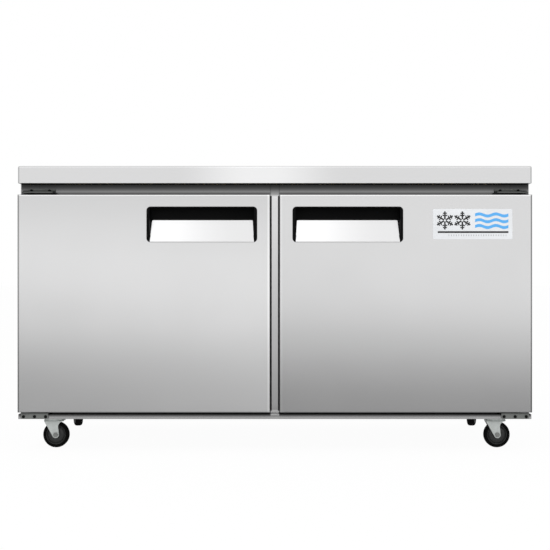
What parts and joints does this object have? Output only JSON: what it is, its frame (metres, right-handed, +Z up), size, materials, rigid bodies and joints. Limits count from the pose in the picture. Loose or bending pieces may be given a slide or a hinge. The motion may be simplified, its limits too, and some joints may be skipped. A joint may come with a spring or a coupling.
{
  "type": "under counter fridge",
  "caption": "Worktop-height refrigerator with side-by-side hinged steel doors, recessed black pulls, a flat steel top and swivel casters, with its wire shelves and cooling unit inside.",
  "frame": {"origin": "on the floor, under the middle of the footprint", "axes": "+X to the right seen from the front, +Y to the back, +Z up"},
  "size_m": [1.53, 0.762, 0.852],
  "materials": {
    "satin_steel": "satin stainless, fine grain",
    "zinc_steel": "bright zinc plate",
    "galvanised": "galvanised sheet",
    "black_plastic": "moulded black plastic",
    "grey_plastic": "moulded grey plastic",
    "white_plastic": "white vacuum-formed sheet",
    "foam": "rigid foam",
    "seal_rubber": "soft extrusion",
    "tread_rubber": "black tyre on a grey hub",
    "black_paint": "semi-gloss black",
    "copper": "bare copper tube",
    "aluminium_fin": "mill finish",
    "coated_wire": "epoxy-coated wire",
    "label_film": "printed film"
  },
  "bodies": {
    "cabinet": {"back_panel": "galvanised", "bottom_panel": "satin_steel", "cabinet_screws": "zinc_steel", "caster_bolts": "zinc_steel", "caster_plates": "zinc_steel", "centre_mullion": "satin_steel", "compressor": "black_paint", "condenser_coil": "aluminium_fin", "condenser_fan_shroud": "galvanised", "drain_pan": "grey_plastic", "evaporator_coil": "aluminium_fin", "evaporator_cover": "white_plastic", "face_frame": "satin_steel", "fan_motors": "black_paint", "foam_insulation": "foam", "hinge_brackets": "zinc_steel", "hinge_pins": "zinc_steel", "inner_liner": "white_plastic", "left_side_panel": "satin_steel", "machine_housing": "galvanised", "power_cord": "seal_rubber", "rear_grille": "galvanised", "refrigerant_lines": "copper", "right_side_panel": "satin_steel", "shelf_clips": "zinc_steel", "shelf_pilasters": "zinc_steel", "thermostat_housing": "grey_plastic", "worktop": "satin_steel"},
    "door_left": {"door_foam_left": "foam", "door_gasket_left": "seal_rubber", "door_hinge_inserts_left": "grey_plastic", "door_liner_left": "white_plastic", "door_skin_left": "satin_steel", "handle_plate_left": "satin_steel", "handle_pocket_left": "black_plastic"},
    "door_right": {"door_foam_right": "foam", "door_gasket_right": "seal_rubber", "door_hinge_inserts_right": "grey_plastic", "door_liner_right": "white_plastic", "door_skin_right": "satin_steel", "handle_plate_right": "satin_steel", "handle_pocket_right": "black_plastic", "door_label": "label_film"},
    "shelf_left": {"shelf_left": "coated_wire"},
    "shelf_right": {"shelf_right": "coated_wire"},
    "caster_front_left": {"caster_fork_front_left": "zinc_steel", "caster_axle_front_left": "zinc_steel"},
    "wheel_front_left": {"caster_wheel_front_left": "tread_rubber"},
    "caster_front_right": {"caster_fork_front_right": "zinc_steel", "caster_axle_front_right": "zinc_steel"},
    "wheel_front_right": {"caster_wheel_front_right": "tread_rubber"},
    "caster_rear_left": {"caster_fork_rear_left": "zinc_steel", "caster_axle_rear_left": "zinc_steel"},
    "wheel_rear_left": {"caster_wheel_rear_left": "tread_rubber"},
    "caster_rear_right": {"caster_fork_rear_right": "zinc_steel", "caster_axle_rear_right": "zinc_steel"},
    "wheel_rear_right": {"caster_wheel_rear_right": "tread_rubber"},
    "condenser_fan": {"condenser_fan_blade": "aluminium_fin"},
    "evaporator_fan": {"evaporator_fan_blade": "aluminium_fin"},
    "thermostat_dial": {"thermostat_knob": "black_plastic"}
  },
  "joints": [
    {"name": "door_left_hinge", "type": "hinge", "parent": "cabinet", "child": "door_left", "pos_m": [-0.743, -0.363, 0.44], "axis": [0, 0, -1], "range_deg": [0, 110]},
    {"name": "door_right_hinge", "type": "hinge", "parent": "cabinet", "child": "door_right", "pos_m": [0.743, -0.363, 0.44], "axis": [0, 0, 1], "range_deg": [0, 110]},
    {"name": "swivel_front_left", "type": "hinge", "parent": "cabinet", "child": "caster_front_left", "pos_m": [-0.674, -0.261, 0.09], "axis": [0, 0, 1], "continuous": true},
    {"name": "swivel_front_right", "type": "hinge", "parent": "cabinet", "child": "caster_front_right", "pos_m": [0.674, -0.261, 0.09], "axis": [0, 0, 1], "continuous": true},
    {"name": "swivel_rear_left", "type": "hinge", "parent": "cabinet", "child": "caster_rear_left", "pos_m": [-0.688, 0.3, 0.09], "axis": [0, 0, 1], "continuous": true},
    {"name": "swivel_rear_right", "type": "hinge", "parent": "cabinet", "child": "caster_rear_right", "pos_m": [0.688, 0.3, 0.09], "axis": [0, 0, 1], "continuous": true},
    {"name": "roll_front_left", "type": "hinge", "parent": "caster_front_left", "child": "wheel_front_left", "pos_m": [-0.669, -0.261, 0.04], "axis": [0, 1, 0], "continuous": true},
    {"name": "roll_front_right", "type": "hinge", "parent": "caster_front_right", "child": "wheel_front_right", "pos_m": [0.679, -0.261, 0.04], "axis": [0, 1, 0], "continuous": true},
    {"name": "roll_rear_left", "type": "hinge", "parent": "caster_rear_left", "child": "wheel_rear_left", "pos_m": [-0.68938, 0.30481, 0.04], "axis": [-0.9613, -0.2756, 0], "continuous": true},
    {"name": "roll_rear_right", "type": "hinge", "parent": "caster_rear_right", "child": "wheel_rear_right", "pos_m": [0.68938, 0.30481, 0.04], "axis": [-0.9613, 0.2756, 0], "continuous": true},
    {"name": "condenser_fan_spin", "type": "hinge", "parent": "cabinet", "child": "condenser_fan", "pos_m": [-0.3, 0.217, 0.23], "axis": [0, 1, 0], "continuous": true},
    {"name": "evaporator_fan_spin", "type": "hinge", "parent": "cabinet", "child": "evaporator_fan", "pos_m": [0.15, 0.222, 0.641], "axis": [0, 1, 0], "continuous": true},
    {"name": "thermostat_turn", "type": "hinge", "parent": "cabinet", "child": "thermostat_dial", "pos_m": [-0.2, 0.18, 0.641], "axis": [0, 1, 0], "range_deg": [-135, 135]},
    {"name": "shelf_left_lift", "type": "slide", "parent": "cabinet", "child": "shelf_left", "axis": [0, 0, 1], "range_m": [0, 0.04]},
    {"name": "shelf_right_lift", "type": "slide", "parent": "cabinet", "child": "shelf_right", "axis": [0, 0, 1], "range_m": [0, 0.04]}
  ]
}
